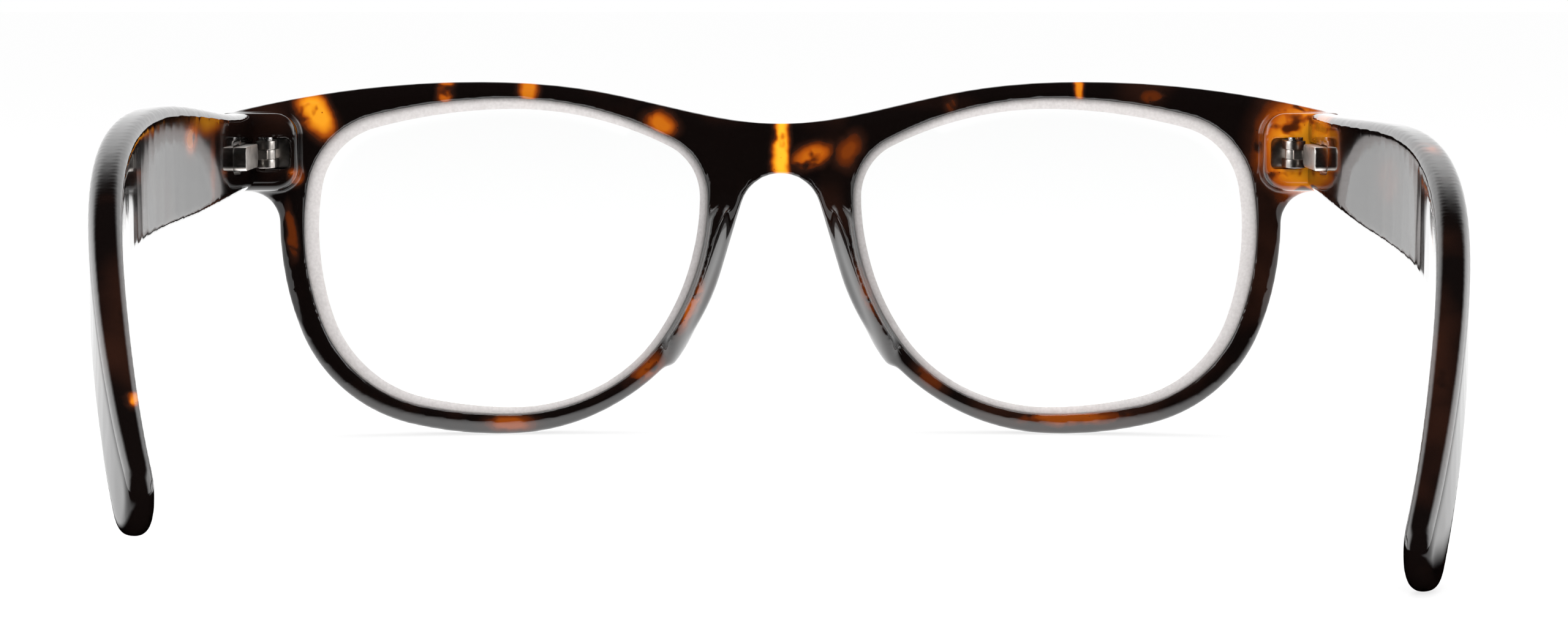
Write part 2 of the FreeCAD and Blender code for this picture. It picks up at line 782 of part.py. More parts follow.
def fuse(name, shapes):
    obj = doc.addObject("Part::MultiFuse", name)
    obj.Shapes = shapes
    obj.Refine = True
    return obj


def cut(name, base, tool):
    obj = doc.addObject("Part::Cut", name)
    obj.Base = base
    obj.Tool = tool
    obj.Refine = True
    return obj


def turned(name, centre, profile):
    """A PartDesign body turned about Z from (radius, height) corners, as sheet expressions."""
    body = bound("PartDesign::Body", name, Placement__Base__x=centre[0],
                 Placement__Base__y=centre[1], Placement__Base__z=centre[2])
    sketch = body.newObject("Sketcher::SketchObject", name + "_profile")
    plane = [f for f in body.Origin.OriginFeatures if f.Role == "XZ_Plane"][0]
    sketch.AttachmentSupport = [(plane, "")]
    sketch.MapMode = "FlatFace"
    values = [(evaluate(radius), evaluate(height)) for radius, height in profile]
    for index in range(len(profile)):
        start = Vector(values[index][0], values[index][1], 0)
        after = values[(index + 1) % len(profile)]
        sketch.addGeometry(Part.LineSegment(start, Vector(after[0], after[1], 0)), False)
    for index in range(len(profile)):
        following = (index + 1) % len(profile)
        sketch.addConstraint(Sketcher.Constraint("Coincident", index, 2, following, 1))
    for index, (radius, height) in enumerate(profile):
        for kind, text, value in (("DistanceX", radius, values[index][0]),
                                  ("DistanceY", height, values[index][1])):
            number = sketch.addConstraint(Sketcher.Constraint(kind, -1, 1, index, 1, value))
            sketch.setExpression("Constraints[%d]" % number, text.replace("$", "Sizes."))
    turn = body.newObject("PartDesign::Revolution", name + "_turn")
    turn.Profile = sketch
    turn.ReferenceAxis = (sketch, ["V_Axis"])
    turn.Angle = 360.0
    return body


def evaluate(text):
    """The present value of a sheet expression."""
    scratch = bound("App::FeaturePython", "scratch_value")
    scratch.addProperty("App::PropertyFloat", "Value")
    scratch.setExpression("Value", text.replace("$", "Sizes."))
    scratch.recompute()
    value = scratch.Value
    doc.removeObject(scratch.Name)
    return value


PIVOT = ("$pivot_reach", "$pivot_y", "$hinge_height")
EYE_FOOT = "$hinge_height - $eye_height / 2"
LOW_KNUCKLE = EYE_FOOT + " - $knuckle_gap - $knuckle_height"
HIGH_KNUCKLE = "$hinge_height + $eye_height / 2 + $knuckle_gap"
PIN_HOLE = "$pin_radius + $pin_clearance"
STACK = "2 * $knuckle_height + $eye_height + 2 * $knuckle_gap"


def hinge_front():
    """The leaf on the front: a plate at the pocket's floor and two knuckles on arms."""
    pieces = []
    reach = "$block_back_y + $leaf_pocket_depth - $pivot_y - $leaf_plate_thickness / 2"
    for level, foot in (("low", LOW_KNUCKLE), ("high", HIGH_KNUCKLE)):
        pieces.append(post("knuckle_" + level, ("$pivot_reach", "$pivot_y", foot),
                           "$knuckle_radius", "$knuckle_height"))
        pieces.append(box("leaf_arm_" + level, ("$pivot_reach - $knuckle_radius", "$pivot_y", foot),
                          ("$leaf_arm_width", reach, "$knuckle_height")))
    pieces.append(box("leaf_plate", (
        "$pivot_reach + $knuckle_radius - $leaf_plate_inset - $leaf_plate_width",
        "$block_back_y + $leaf_pocket_depth - $leaf_plate_thickness",
        "$hinge_height - $leaf_plate_height / 2",
    ), ("$leaf_plate_width", "$leaf_plate_thickness", "$leaf_plate_height")))
    hole = post("leaf_pin_hole", ("$pivot_reach", "$pivot_y", LOW_KNUCKLE + " - 1"), PIN_HOLE,
                STACK + " + 2")
    return cut("hinge_front_right", fuse("leaf_blank", pieces), hole)


def hinge_screw():
    """The hinge screw, with a slot across its head."""
    body = turned("screw_blank", ("$pivot_reach", "$pivot_y", LOW_KNUCKLE), [
        ("0", "0"),
        ("$pin_radius", "0"),
        ("$pin_radius", STACK),
        ("$pin_head_radius", STACK),
        ("$pin_head_radius", STACK + " + $pin_head_height"),
        ("0", STACK + " + $pin_head_height"),
    ])
    slot = box("screw_slot", (
        "$pivot_reach - $pin_slot_width / 2",
        "$pivot_y - 2 * $pin_head_radius",
        LOW_KNUCKLE + " + " + STACK + " + $pin_head_height / 2",
    ), ("$pin_slot_width", "4 * $pin_head_radius", "$pin_head_height"))
    return cut("hinge_screw_right", body, slot)


def hinge_link():
    """The link: an eye between the knuckles, a cross arm and the spring's rod."""
    end = "$link_throw + $link_cross_length"
    level = EYE_FOOT
    eye = post("link_eye", ("$pivot_reach", "$pivot_y", level), "$knuckle_radius", "$eye_height")
    arm = box("link_arm", ("$pivot_reach - $link_arm_half_width", "$pivot_y - " + end.replace("+", "-"), level),
              ("2 * $link_arm_half_width", end, "$eye_height"))
    cross = box("link_cross", ("$pivot_reach - $link_arm_half_width",
                               "$pivot_y - " + end.replace("+", "-"), level),
                ("$rod_reach - $pivot_reach + 2 * $link_arm_half_width", "$link_cross_length",
                 "$eye_height"))
    stem = rod("link_rod", ("$rod_reach", "$pivot_y - $link_throw - $link_cross_length / 2",
                            "$hinge_height"), "$rod_radius",
               "$housing_start + $housing_length - $housing_wall - $stop_gap"
               " - $link_throw - $link_cross_length / 2")
    hole = post("link_pin_hole", ("$pivot_reach", "$pivot_y", level + " - 1"), PIN_HOLE,
                "$eye_height + 2")
    return cut("hinge_link_right", fuse("link_blank", [eye, arm, cross, stem]), hole)


def spring_stop():
    """The nut on the end of the link's rod, which the spring pushes on."""
    front = ("$rod_reach", "$pivot_y - $housing_start - $housing_length + $housing_wall"
             " + $stop_gap + $stop_length", "$hinge_height")
    nut = rod("stop_blank", front, "$stop_radius", "$stop_length")
    hole = rod("stop_hole", ("$rod_reach", "$pivot_y", "$hinge_height"), "$rod_radius",
               "$housing_start + $housing_length")
    return cut("spring_stop_right", nut, hole)


def hinge_housing():
    """The spring housing: a round-cornered block with the spring's bore and the rod's hole."""
    blank = box("housing_block", ("$temple_root_reach - $housing_stand",
                                  "$housing_front_y - $housing_length",
                                  "$hinge_height - $housing_height / 2"),
                ("$housing_width", "$housing_length", "$housing_height"))
    doc.recompute()
    rounded = doc.addObject("Part::Fillet", "housing_rounded")
    rounded.Base = blank
    radius = size("housing_round")
    edges = []
    for number, edge in enumerate(blank.Shape.Edges, start=1):
        along_x = edge.BoundBox.XLength > 1.0
        if along_x:
            edges.append((number, radius, radius))
    rounded.Edges = edges
    bore = rod("spring_bore", ("$rod_reach", "$housing_front_y - $housing_wall", "$hinge_height"),
               "$spring_bore_radius", "$housing_length - 2 * $housing_wall")
    mouth = rod("rod_hole", ("$rod_reach", "$housing_front_y + 1", "$hinge_height"),
                "$rod_radius + $rod_clearance", "$housing_wall + 1.5")
    return cut("hinge_housing_right", rounded, fuse("housing_bores", [bore, mouth]))


def hinge_spring():
    """The coil spring on the rod, between the housing's front wall and the stop."""
    start = size("housing_start") + size("housing_wall") + size("spring_end_gap")
    end = (size("housing_start") + size("housing_length") - size("housing_wall") - size("stop_gap")
           - size("stop_length") - size("spring_end_gap"))
    wire = size("spring_wire_radius")
    coil = 0.5 * (size("spring_bore_radius") + size("rod_radius"))
    length = end - start - 2 * wire
    helix = Part.makeHelix(length / size("spring_turns"), length, coil)
    circle = Part.makeCircle(wire, Vector(coil, 0, 0), Vector(0, 1, 0))
    solid = Part.Wire(helix.Edges).makePipeShell([Part.Wire(circle)], True, True)
    solid.rotate(Vector(0, 0, 0), Vector(1, 0, 0), 90)
    solid.translate(Vector(size("rod_reach"), size("pivot_y") - start - wire, size("hinge_height")))
    return feature("hinge_spring_right", solid)


# ---------------------------------------------------------------- the whole object

def left_copy(source):
    """The mirrored piece on the wearer's left."""
    obj = doc.addObject("Part::Mirroring", source.Label.replace("right", "left"))
    obj.Label = source.Label.replace("right", "left")
    obj.Source = source
    obj.Base = Vector(0, 0, 0)
    obj.Normal = Vector(1, 0, 0)
    return obj


front_shape = front_frame()
nodes = [feature("front_frame", front_shape)]
paired = [
    feature("lens_right", lens()),
    feature("nose_pad_right", nose_pad(front_shape)),
    hinge_front(),
    hinge_screw(),
    hinge_link(),
    spring_stop(),
    hinge_spring(),
    hinge_housing(),
]
nodes += paired
nodes += [left_copy(source) for source in paired]
for side, rise in (("right", size("right_temple_rise")), ("left", size("left_temple_rise"))):
    for name, shape in (
        ("temple_", temple(rise)),
        ("core_wire_", wire_solid(rise, size("wire_radius"))),
    ):
        nodes.append(feature(name + side, shape if side == "right" else mirrored(shape)))

doc.recompute()
for obj in doc.Objects:
    if "Invalid" in obj.State or "Error" in obj.State:
        raise RuntimeError("%s failed: %s" % (obj.Name, obj.State))
for node in nodes:
    if node.Shape.isNull() or not node.Shape.isValid():
        raise RuntimeError("%s has no valid shape" % node.Label)

os.makedirs("parts", exist_ok=True)
for node in nodes:
    node.Shape.exportStep("parts/%s.step" % node.Label)
    solids = len(node.Shape.Solids)
    print("%-20s solids %d volume %9.3f" % (node.Label, solids, node.Shape.Volume))
lowest = min(node.Shape.BoundBox.ZMin for node in nodes)
print("butt %.3f pivot %.3f wrap %.3f lowest %.3f" % (butt_y, pivot_y, wrap_angle, lowest))
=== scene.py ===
# %% [markdown]
# # Sprung acetate reading glasses
#
# The design is already made and packed: every plastic, glass and metal piece stands where it
# belongs, in metres, with +Y the way the wearer looks and +Z up. This lesson gives that design
# its looks. We read the fixed frame first and keep its box, so that we can compare sizes later.

# %% Load the frame
import math

import bmesh
import bpy
import numpy as np
from mathutils import Matrix, Vector


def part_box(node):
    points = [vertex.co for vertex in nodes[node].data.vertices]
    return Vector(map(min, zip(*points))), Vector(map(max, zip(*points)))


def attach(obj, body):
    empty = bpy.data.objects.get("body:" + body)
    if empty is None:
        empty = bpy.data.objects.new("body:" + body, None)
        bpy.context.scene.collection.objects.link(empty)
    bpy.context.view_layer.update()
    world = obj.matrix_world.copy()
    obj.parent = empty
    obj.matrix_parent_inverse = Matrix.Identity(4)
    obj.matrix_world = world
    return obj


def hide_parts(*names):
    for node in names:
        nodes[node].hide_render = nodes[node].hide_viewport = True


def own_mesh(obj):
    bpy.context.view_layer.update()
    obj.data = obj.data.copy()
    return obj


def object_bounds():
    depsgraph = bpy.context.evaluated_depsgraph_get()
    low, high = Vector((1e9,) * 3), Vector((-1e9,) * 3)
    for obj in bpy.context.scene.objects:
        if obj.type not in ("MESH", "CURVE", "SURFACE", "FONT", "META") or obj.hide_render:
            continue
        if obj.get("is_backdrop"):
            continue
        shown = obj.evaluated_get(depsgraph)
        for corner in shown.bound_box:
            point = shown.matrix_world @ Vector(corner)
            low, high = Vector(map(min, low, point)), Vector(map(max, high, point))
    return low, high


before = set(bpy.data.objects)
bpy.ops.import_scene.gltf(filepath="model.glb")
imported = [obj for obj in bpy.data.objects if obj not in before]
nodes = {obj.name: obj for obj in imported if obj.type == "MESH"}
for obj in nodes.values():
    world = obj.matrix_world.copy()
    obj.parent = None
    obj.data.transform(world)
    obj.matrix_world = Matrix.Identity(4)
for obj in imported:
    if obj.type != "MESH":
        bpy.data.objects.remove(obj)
design_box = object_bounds()
MM = 0.001
SIDES = ("right", "left")
scene = bpy.context.scene
print("pieces in the design:", len(nodes))
print("design box in mm:", [[round(c / MM, 2) for c in corner] for corner in design_box])

# %% [markdown]
# ## Camera
#
# The glasses lie open on a table with their temple tips towards us, and we look over the tips at
# the back of the front. A long lens from a little over forty centimetres keeps the brow line
# nearly straight, and the small downward pitch shows the tops of the temples.

# %% Camera over the temple tips
CAMERA_PITCH = math.radians(5.03)
CAMERA_ASIDE = 0.45 * MM
CAMERA_BACK = 505.0 * MM      # from the foremost point of the front
CAMERA_HEIGHT = 58.9 * MM
front_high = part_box("front_frame")[1]
eye_place = Vector((CAMERA_ASIDE, front_high.y - CAMERA_BACK, CAMERA_HEIGHT))

lens_data = bpy.data.cameras.new("camera")
lens_data.sensor_width = 36.0
lens_data.lens = 89.6
camera = bpy.data.objects.new("camera", lens_data)
camera.location = eye_place
camera.rotation_euler = (math.radians(90.0) - CAMERA_PITCH, 0.0, 0.0)
scene.collection.objects.link(camera)
scene.camera = camera
scene.view_settings.view_transform = "Standard"
print("camera stands", round(-eye_place.y / MM), "mm behind the frame's origin")

# %% [markdown]
# ## Small helpers for node trees
#
# Every finish below is a small tree of shader nodes. These helpers keep the trees readable: one
# adds a node and sets its plain values, one wires it up, and one does arithmetic.

# %% Helpers for shader nodes
def new_material(name):
    """An empty material with one Principled shader, and the nodes to wire it."""
    material = bpy.data.materials.new(name)
    material.use_nodes = True
    tree = material.node_tree
    shader = tree.nodes["Principled BSDF"]
    return material, tree, shader


def add(tree, kind, values=None, **properties):
    """A node of a kind, with its own properties and the plain values of its inputs."""
    node = tree.nodes.new(kind)
    for key, value in properties.items():
        setattr(node, key, value)
    for key, value in (values or {}).items():
        node.inputs[key].default_value = value
    return node


def feed(tree, target, source):
    """Wire an output into an input, or set a plain value."""
    if isinstance(source, bpy.types.NodeSocket):
        tree.links.new(source, target)
    else:
        target.default_value = source


def calculate(tree, operation, first, second=0.0, third=0.0, clamp=False):
    """One Math node."""
    node = add(tree, "ShaderNodeMath", operation=operation, use_clamp=clamp)
    for socket, source in zip(node.inputs, (first, second, third)):
        feed(tree, socket, source)
    return node.outputs[0]


def vector_math(tree, operation, first, second=(0.0, 0.0, 0.0)):
    """One Vector Math node; length gives its number, anything else its vector."""
    node = add(tree, "ShaderNodeVectorMath", operation=operation)
    feed(tree, node.inputs[0], first)
    feed(tree, node.inputs[1], second)
    return node.outputs["Value"] if operation in ("LENGTH", "DISTANCE") else node.outputs["Vector"]


def step_between(tree, value, low, high):
    """0 below low, 1 above high, and a smooth rise between."""
    node = add(tree, "ShaderNodeMapRange", {"From Min": low, "From Max": high},
               interpolation_type="SMOOTHSTEP")
    feed(tree, node.inputs["Value"], value)
    return node.outputs["Result"]


def colour_ramp(tree, value, stops):
    """A colour ramp through (place, colour) stops."""
    node = add(tree, "ShaderNodeValToRGB")
    ramp = node.color_ramp
    while len(ramp.elements) < len(stops):
        ramp.elements.new(0.5)
    for element, (place, colour) in zip(ramp.elements, stops):
        element.position = place
        element.color = (*colour, 1.0)
    feed(tree, node.inputs["Fac"], value)
    return node.outputs["Color"]


def noise(tree, vector, scale, detail=2.0, roughness=0.5):
    node = add(tree, "ShaderNodeTexNoise",
               {"Scale": scale, "Detail": detail, "Roughness": roughness})
    feed(tree, node.inputs["Vector"], vector)
    return node


print("node helpers ready")

# %% [markdown]
# ## Studio
#
# Polished acetate is dark and mirror-smooth, so what we see of it is mostly the room. The room is
# a white tent with a dark opening where the camera stands and a dark roof. Surfaces that face us
# mirror the opening and look nearly black, and so do the sloping ear parts, which mirror the roof.
# Tops mirror the far wall and turn light grey, and edges mirror the side walls, which are the
# brightest. The world gives each kind of ray what it needs. The camera and rays through glass see
# plain white, mirror rays see the tent, and diffuse rays get an even, moderate light.

# %% World
DIFFUSE_LEVEL = 0.60
OPENING_LEVEL = 0.006         # how bright mirror rays find the opening and the roof
TENT_LEVEL = 1.3
SIDE_EXTRA = 2.0              # what the side walls add to the tent
OPENING_EDGE = (-0.55, -0.05)   # Y of a direction, from the opening to the walls
ROOF_EDGE = (0.78, 0.50)        # Z of a direction, from the roof to the walls
SIDE_EDGE = (0.45, 0.90)        # X of a direction, either way, from the far wall to a side wall

world = bpy.data.worlds.new("tent")
scene.world = world
world.use_nodes = True
sky = world.node_tree
axes = add(sky, "ShaderNodeSeparateXYZ")
feed(sky, axes.inputs[0], add(sky, "ShaderNodeTexCoord").outputs["Generated"])
walls = step_between(sky, axes.outputs["Y"], *OPENING_EDGE)
below_roof = step_between(sky, axes.outputs["Z"], *ROOF_EDGE)
sideways = step_between(sky, calculate(sky, "ABSOLUTE", axes.outputs["X"]), *SIDE_EDGE)
tent = calculate(sky, "MULTIPLY_ADD", sideways, SIDE_EXTRA, TENT_LEVEL)
tent = calculate(sky, "MULTIPLY", tent, calculate(sky, "MULTIPLY", walls, below_roof))
tent = calculate(sky, "ADD", tent, OPENING_LEVEL)
rays = add(sky, "ShaderNodeLightPath").outputs
seen_white = calculate(sky, "MAXIMUM", rays["Is Camera Ray"], rays["Is Transmission Ray"])
level = add(sky, "ShaderNodeMix", {"A": DIFFUSE_LEVEL})
feed(sky, level.inputs["Factor"], rays["Is Glossy Ray"])
feed(sky, level.inputs["B"], tent)
final_level = add(sky, "ShaderNodeMix", {"B": 1.0})
feed(sky, final_level.inputs["Factor"], seen_white)
feed(sky, final_level.inputs["A"], level.outputs["Result"])
background = sky.nodes["Background"]
feed(sky, background.inputs["Strength"], final_level.outputs["Result"])
background.inputs["Color"].default_value = (1.0, 1.0, 1.0, 1.0)
print("tent world ready")

# %% Lights
SUN_POWER = 0.9
SUN_ANGLE = math.radians(70.0)   # so wide that its shadows have no edge
MIDDLE = (design_box[0] + design_box[1]) / 2.0
SOFT_LIGHTS = [
    # name, metres from the middle of the glasses, width, height, power
    ("overhead_box", (0.0, 0.10, 0.70), 0.7, 0.5, 1.6),
    ("front_fill", (0.0, -0.75, 0.35), 0.6, 0.4, 5.0),
]


def hang(name, data):
    """Put a lamp in the scene. The tent is what gloss mirrors, so gloss doesn't see the lamps."""
    lamp = bpy.data.objects.new(name, data)
    lamp.visible_glossy = False
    lamp.visible_camera = False
    scene.collection.objects.link(lamp)
    return lamp


for name, offset, width, height, power in SOFT_LIGHTS:
    data = bpy.data.lights.new(name, "AREA")
    data.shape = "RECTANGLE"
    data.size = width
    data.size_y = height
    data.energy = power
    lamp = hang(name, data)
    lamp.location = MIDDLE + Vector(offset)
    lamp.rotation_euler = (-Vector(offset)).to_track_quat("-Z", "Y").to_euler()
sun = bpy.data.lights.new("even_sky", "SUN")
sun.energy = SUN_POWER
sun.angle = SUN_ANGLE
hang("even_sky", sun)

# %% [markdown]
# ## Table
#
# The table is a plain white sheet. Part of its white is its own colour and part is a constant
# white that only the camera and glass see, so it stays as bright as the background while it still
# takes a faint shadow from the rims and the tips. Gloss sees a glow of its own: brightest right
# under the rims, even further off and outside the temples, and dark towards the camera, like the
# tent's opening.

# %% White table
TABLE_HALF = 6.0
CONSTANT_WHITE = 0.72         # share of the table's white that takes no shadow
WHITE_GLOW = 1.06
FAR_GLOW = 1.68               # the far table in gloss
NEAR_EXTRA = 0.9              # what the table under the rims adds to it
ASIDE_GLOW = 1.22             # the table outside the temples
ASIDE_SPREAD = 0.155          # how fast that part moves outwards with depth
TIPS_Y = design_box[0].y
FRONT_Y = design_box[1].y
LIT_EDGE = (FRONT_Y - 45.0 * MM, FRONT_Y - 8.0 * MM)     # Y between the temples, dark to lit
NEAR_EDGE = (FRONT_Y + 90.0 * MM, FRONT_Y + 30.0 * MM)   # Y beyond the front, far to near
ASIDE_EDGE = (70.0 * MM, 80.0 * MM)                      # X at the tips, inside to outside
BEHIND_EDGE = (TIPS_Y - 30.0 * MM, TIPS_Y - 5.0 * MM)    # Y outside the temples, dark to lit


def table_in_gloss(tree):
    """How bright mirror rays find each place on the table."""
    where = add(tree, "ShaderNodeSeparateXYZ")
    feed(tree, where.inputs[0], add(tree, "ShaderNodeTexCoord").outputs["Object"])
    depth = where.outputs["Y"]
    lit = step_between(tree, depth, *LIT_EDGE)
    near = step_between(tree, depth, *NEAR_EDGE)
    glow = calculate(tree, "MULTIPLY", lit, calculate(
        tree, "MULTIPLY_ADD", near, NEAR_EXTRA, FAR_GLOW))
    reach = calculate(tree, "MULTIPLY_ADD", depth, -ASIDE_SPREAD,
                      calculate(tree, "ABSOLUTE", where.outputs["X"]))
    aside = step_between(tree, reach, *[edge - ASIDE_SPREAD * TIPS_Y for edge in ASIDE_EDGE])
    aside = calculate(tree, "MULTIPLY", aside, step_between(tree, depth, *BEHIND_EDGE))
    both = add(tree, "ShaderNodeMix", {"B": ASIDE_GLOW})
    feed(tree, both.inputs["Factor"], aside)
    feed(tree, both.inputs["A"], glow)
    return both.outputs["Result"]


def blend_shaders(tree, share, first, second):
    """One Mix Shader node."""
    mix = add(tree, "ShaderNodeMixShader")
    for socket, source in zip(mix.inputs, (share, first, second)):
        feed(tree, socket, source)
    return mix.outputs[0]


bpy.ops.mesh.primitive_plane_add(size=2.0 * TABLE_HALF, location=(0.0, 0.0, 0.0))
table = bpy.context.object
table.name = "table"
table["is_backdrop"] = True
table_paint, tree, shader = new_material("table_white")
shader.inputs["Base Color"].default_value = (0.9, 0.9, 0.9, 1.0)
shader.inputs["Roughness"].default_value = 0.9
shader.inputs["Specular IOR Level"].default_value = 0.0
rays = add(tree, "ShaderNodeLightPath").outputs
seen = calculate(tree, "MAXIMUM", rays["Is Camera Ray"], rays["Is Transmission Ray"])
white = add(tree, "ShaderNodeEmission", {"Strength": WHITE_GLOW})
straight = blend_shaders(tree, calculate(tree, "MULTIPLY", seen, CONSTANT_WHITE),
                         shader.outputs[0], white.outputs[0])
mirrored = add(tree, "ShaderNodeEmission")
feed(tree, mirrored.inputs["Strength"], table_in_gloss(tree))
only_gloss = calculate(tree, "SUBTRACT", rays["Is Glossy Ray"], seen, clamp=True)
surface = blend_shaders(tree, only_gloss, straight, mirrored.outputs[0])
feed(tree, tree.nodes["Material Output"].inputs["Surface"], surface)
table.data.materials.append(table_paint)
print("table is", 2 * TABLE_HALF, "m wide")

# %% [markdown]
# ## Tortoise acetate
#
# The sheet that the front and the temples are cut from is made by pressing chips of amber and red
# acetate into a nearly black brown. A chip shows as a blot with a soft, wandering edge: honey at
# its heart, then orange, red and brown. A noise pattern alone would scatter the chips anywhere.
# The ones that matter, such as the stripe over the nose, have a place, so we give each a centre,
# three radii and a strength, bend them all with one noise field, and let a colour ramp turn
# depth into colour. Fine dark specks and a slow brown cloud finish the sheet.

# %% Acetate material
CHIP_FADE = (1.25, 0.35)      # from a chip's edge to its heart, in radii
WANDER = 2.6 * MM             # how strongly noise bends the chips' edges
WANDER_SCALE = 190.0          # this scale and the ones below are waves per metre
VEIN_SCALE = 330.0
VEIN_DEPTH = 0.6              # how much a vein takes from a chip
CLOUD_SCALE = 75.0
CLOUD_DEPTH = 0.22
SPECK_SCALE = 850.0
SPECK_DEPTH = 0.35            # how much a speck darkens its place
POLISH = (0.035, 0.10)        # roughness, from freshly polished to handled
ACETATE = [
    (0.00, (0.0035, 0.0022, 0.0020)),
    (0.22, (0.018, 0.0065, 0.0040)),
    (0.42, (0.095, 0.018, 0.0030)),
    (0.60, (0.35, 0.070, 0.0040)),
    (0.80, (0.70, 0.225, 0.0080)),
    (1.00, (0.93, 0.44, 0.0220)),
]


def chip_strength(tree, place, centre, radii, lean, strength):
    """How deep a place lies in one chip: strength at its heart, 0 at its edge."""
    mapping = add(tree, "ShaderNodeMapping", {
        "Location": [c * MM for c in centre],
        "Rotation": (0.0, math.radians(lean), 0.0),
        "Scale": [r * MM for r in radii],
    }, vector_type="TEXTURE")
    feed(tree, mapping.inputs["Vector"], place)
    depth = vector_math(tree, "LENGTH", mapping.outputs[0])
    inside = add(tree, "ShaderNodeMapRange", {
        "From Min": CHIP_FADE[0], "From Max": CHIP_FADE[1], "To Max": strength,
    }, interpolation_type="SMOOTHSTEP")
    feed(tree, inside.inputs["Value"], depth)
    return inside.outputs["Result"]


def tortoise(name, chips):
    """Tortoise acetate with chips given as (centre mm, radii mm, lean in degrees, strength)."""
    material, tree, shader = new_material(name)
    place = add(tree, "ShaderNodeTexCoord").outputs["Object"]
    wander = noise(tree, place, WANDER_SCALE, 3.0)
    centred = vector_math(tree, "SUBTRACT", wander.outputs["Color"], (0.5, 0.5, 0.5))
    shift = vector_math(tree, "MULTIPLY", centred, (WANDER, WANDER, WANDER))
    bent = vector_math(tree, "ADD", place, shift)
    level = None
    for chip in chips:
        found = chip_strength(tree, bent, *chip)
        level = found if level is None else calculate(tree, "MAXIMUM", level, found)
    veins = noise(tree, bent, VEIN_SCALE, 2.0)
    vein = step_between(tree, veins.outputs["Fac"], 0.54, 0.70)
    level = calculate(tree, "MULTIPLY", level, calculate(tree, "SUBTRACT", 1.0, calculate(
        tree, "MULTIPLY", vein, VEIN_DEPTH)))
    cloud = noise(tree, place, CLOUD_SCALE, 2.0)
    cloudy = step_between(tree, cloud.outputs["Fac"], 0.5, 0.72)
    brown = calculate(tree, "MULTIPLY", cloudy, CLOUD_DEPTH)
    level = calculate(tree, "MAXIMUM", level, brown)
    specks = add(tree, "ShaderNodeTexVoronoi", {"Scale": SPECK_SCALE, "Randomness": 1.0})
    feed(tree, specks.inputs["Vector"], place)
    speck = step_between(tree, specks.outputs["Distance"], 0.05, 0.11)
    level = calculate(tree, "MULTIPLY", level, calculate(
        tree, "MULTIPLY_ADD", speck, SPECK_DEPTH, 1.0 - SPECK_DEPTH))
    feed(tree, shader.inputs["Base Color"], colour_ramp(tree, level, ACETATE))
    shader.inputs["IOR"].default_value = 1.58
    handled = noise(tree, place, 60.0, 4.0, 0.6)
    roughness = add(tree, "ShaderNodeMapRange", {
        "From Min": 0.35, "From Max": 0.75, "To Min": POLISH[0], "To Max": POLISH[1]})
    feed(tree, roughness.inputs["Value"], handled.outputs["Fac"])
    feed(tree, shader.inputs["Roughness"], roughness.outputs["Result"])
    waves = noise(tree, place, 220.0, 1.0)
    bump = add(tree, "ShaderNodeBump", {"Strength": 0.10, "Distance": 0.05 * MM})
    feed(tree, bump.inputs["Height"], waves.outputs["Fac"])
    feed(tree, shader.inputs["Normal"], bump.outputs[0])
    return material


print("acetate colours:", len(ACETATE))

# %% Where the chips lie
THROUGH = 60.0   # mm; a chip this deep runs right through the front

FRONT_CHIPS = [
    ((-59.2, 50.0, 41.2), (2.5, THROUGH, 4.3), -38.0, 0.88),
    ((-42.8, 50.0, 44.4), (1.35, THROUGH, 4.2), 4.0, 0.62),
    ((-32.3, 50.0, 44.2), (1.7, THROUGH, 4.2), -4.0, 0.70),
    ((-15.2, 50.0, 40.3), (3.0, THROUGH, 2.2), 24.0, 0.66),
    ((0.1, 50.0, 37.0), (1.6, THROUGH, 9.0), 1.0, 1.00),
    ((4.0, 50.0, 35.9), (3.4, THROUGH, 2.2), -24.0, 0.64),
    ((8.6, 50.0, 36.6), (2.4, THROUGH, 3.0), 15.0, 0.46),
    ((21.8, 50.0, 42.6), (1.2, THROUGH, 2.0), 0.0, 0.34),
    ((38.3, 50.0, 44.6), (0.95, THROUGH, 4.0), 0.0, 0.74),
    ((47.5, 50.0, 43.8), (2.2, THROUGH, 1.0), 0.0, 0.38),
    ((66.0, 50.0, 37.0), (6.9, THROUGH, 8.2), 0.0, 0.86),
    ((-61.4, 50.0, 33.6), (1.0, THROUGH, 1.6), 0.0, 0.56),
    ((-62.2, 50.0, 26.5), (0.8, THROUGH, 4.2), 0.0, 0.42),
    ((-11.6, 50.0, 16.6), (1.0, THROUGH, 5.2), 20.0, 0.56),
    ((-17.2, 50.0, 8.4), (3.8, THROUGH, 2.2), -45.0, 0.47),
    ((-34.8, 50.0, 1.6), (4.4, THROUGH, 1.4), 0.0, 0.52),
    ((37.5, 50.0, 2.2), (9.8, THROUGH, 1.3), -4.0, 0.50),
    ((11.2, 50.0, 18.5), (1.2, THROUGH, 5.4), -20.0, 0.40),
    ((19.5, 50.0, 7.6), (3.2, THROUGH, 1.9), 42.0, 0.36),
]
RIGHT_TEMPLE_CHIPS = [
    ((67.5, 46.0, 38.5), (5.0, 9.5, 6.0), 0.0, 0.80),
    ((66.0, -31.0, 31.0), (3.5, 3.4, 4.0), 0.0, 0.62),
    ((69.0, 4.0, 36.0), (5.0, 9.0, 4.0), 0.0, 0.36),
    ((70.5, -12.0, 39.0), (2.0, 6.0, 2.5), 0.0, 0.60),
    ((63.0, -48.0, 20.0), (4.5, 14.0, 12.0), 0.0, 0.27),
    ((61.0, -62.0, 9.0), (4.0, 2.2, 3.0), 0.0, 0.34),
]
